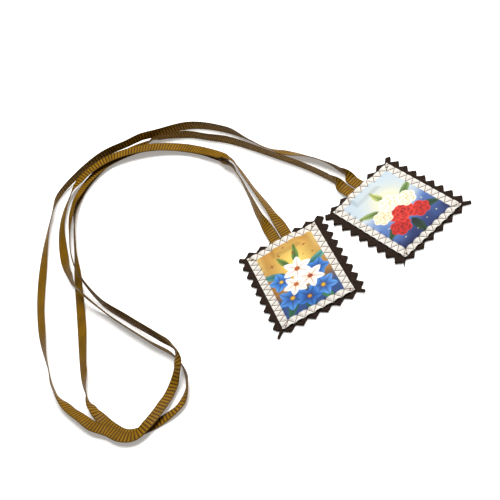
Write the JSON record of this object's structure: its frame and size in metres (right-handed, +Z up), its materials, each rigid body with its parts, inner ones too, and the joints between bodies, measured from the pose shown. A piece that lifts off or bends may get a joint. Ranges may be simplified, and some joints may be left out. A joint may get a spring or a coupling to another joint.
{
  "type": "brown scapular",
  "caption": "Small devotional scapular laid flat: pinked felt patches faced with white cloth panels, joined by long brown grosgrain ribbons in loose loops.",
  "frame": {"origin": "middle of the whole footprint, on the surface the part lies on", "axes": "+Z up off the surface, +X from the ribbon loops towards the patches, +Y from the patches towards the arch of the ribbons"},
  "size_m": [0.188, 0.1736, 0.0101],
  "materials": {
    "felt": "dark brown wool felt, matt",
    "panel_cloth": "ivory cloth, smooth weave",
    "ribbon": "brown grosgrain, soft sheen",
    "thread": "brown sewing thread"
  },
  "bodies": {
    "root": {"felt_front": "felt", "panel_front": "panel_cloth", "felt_back": "felt", "panel_back": "panel_cloth", "ribbon_left": "ribbon", "ribbon_right": "ribbon"}
  },
  "joints": []
}
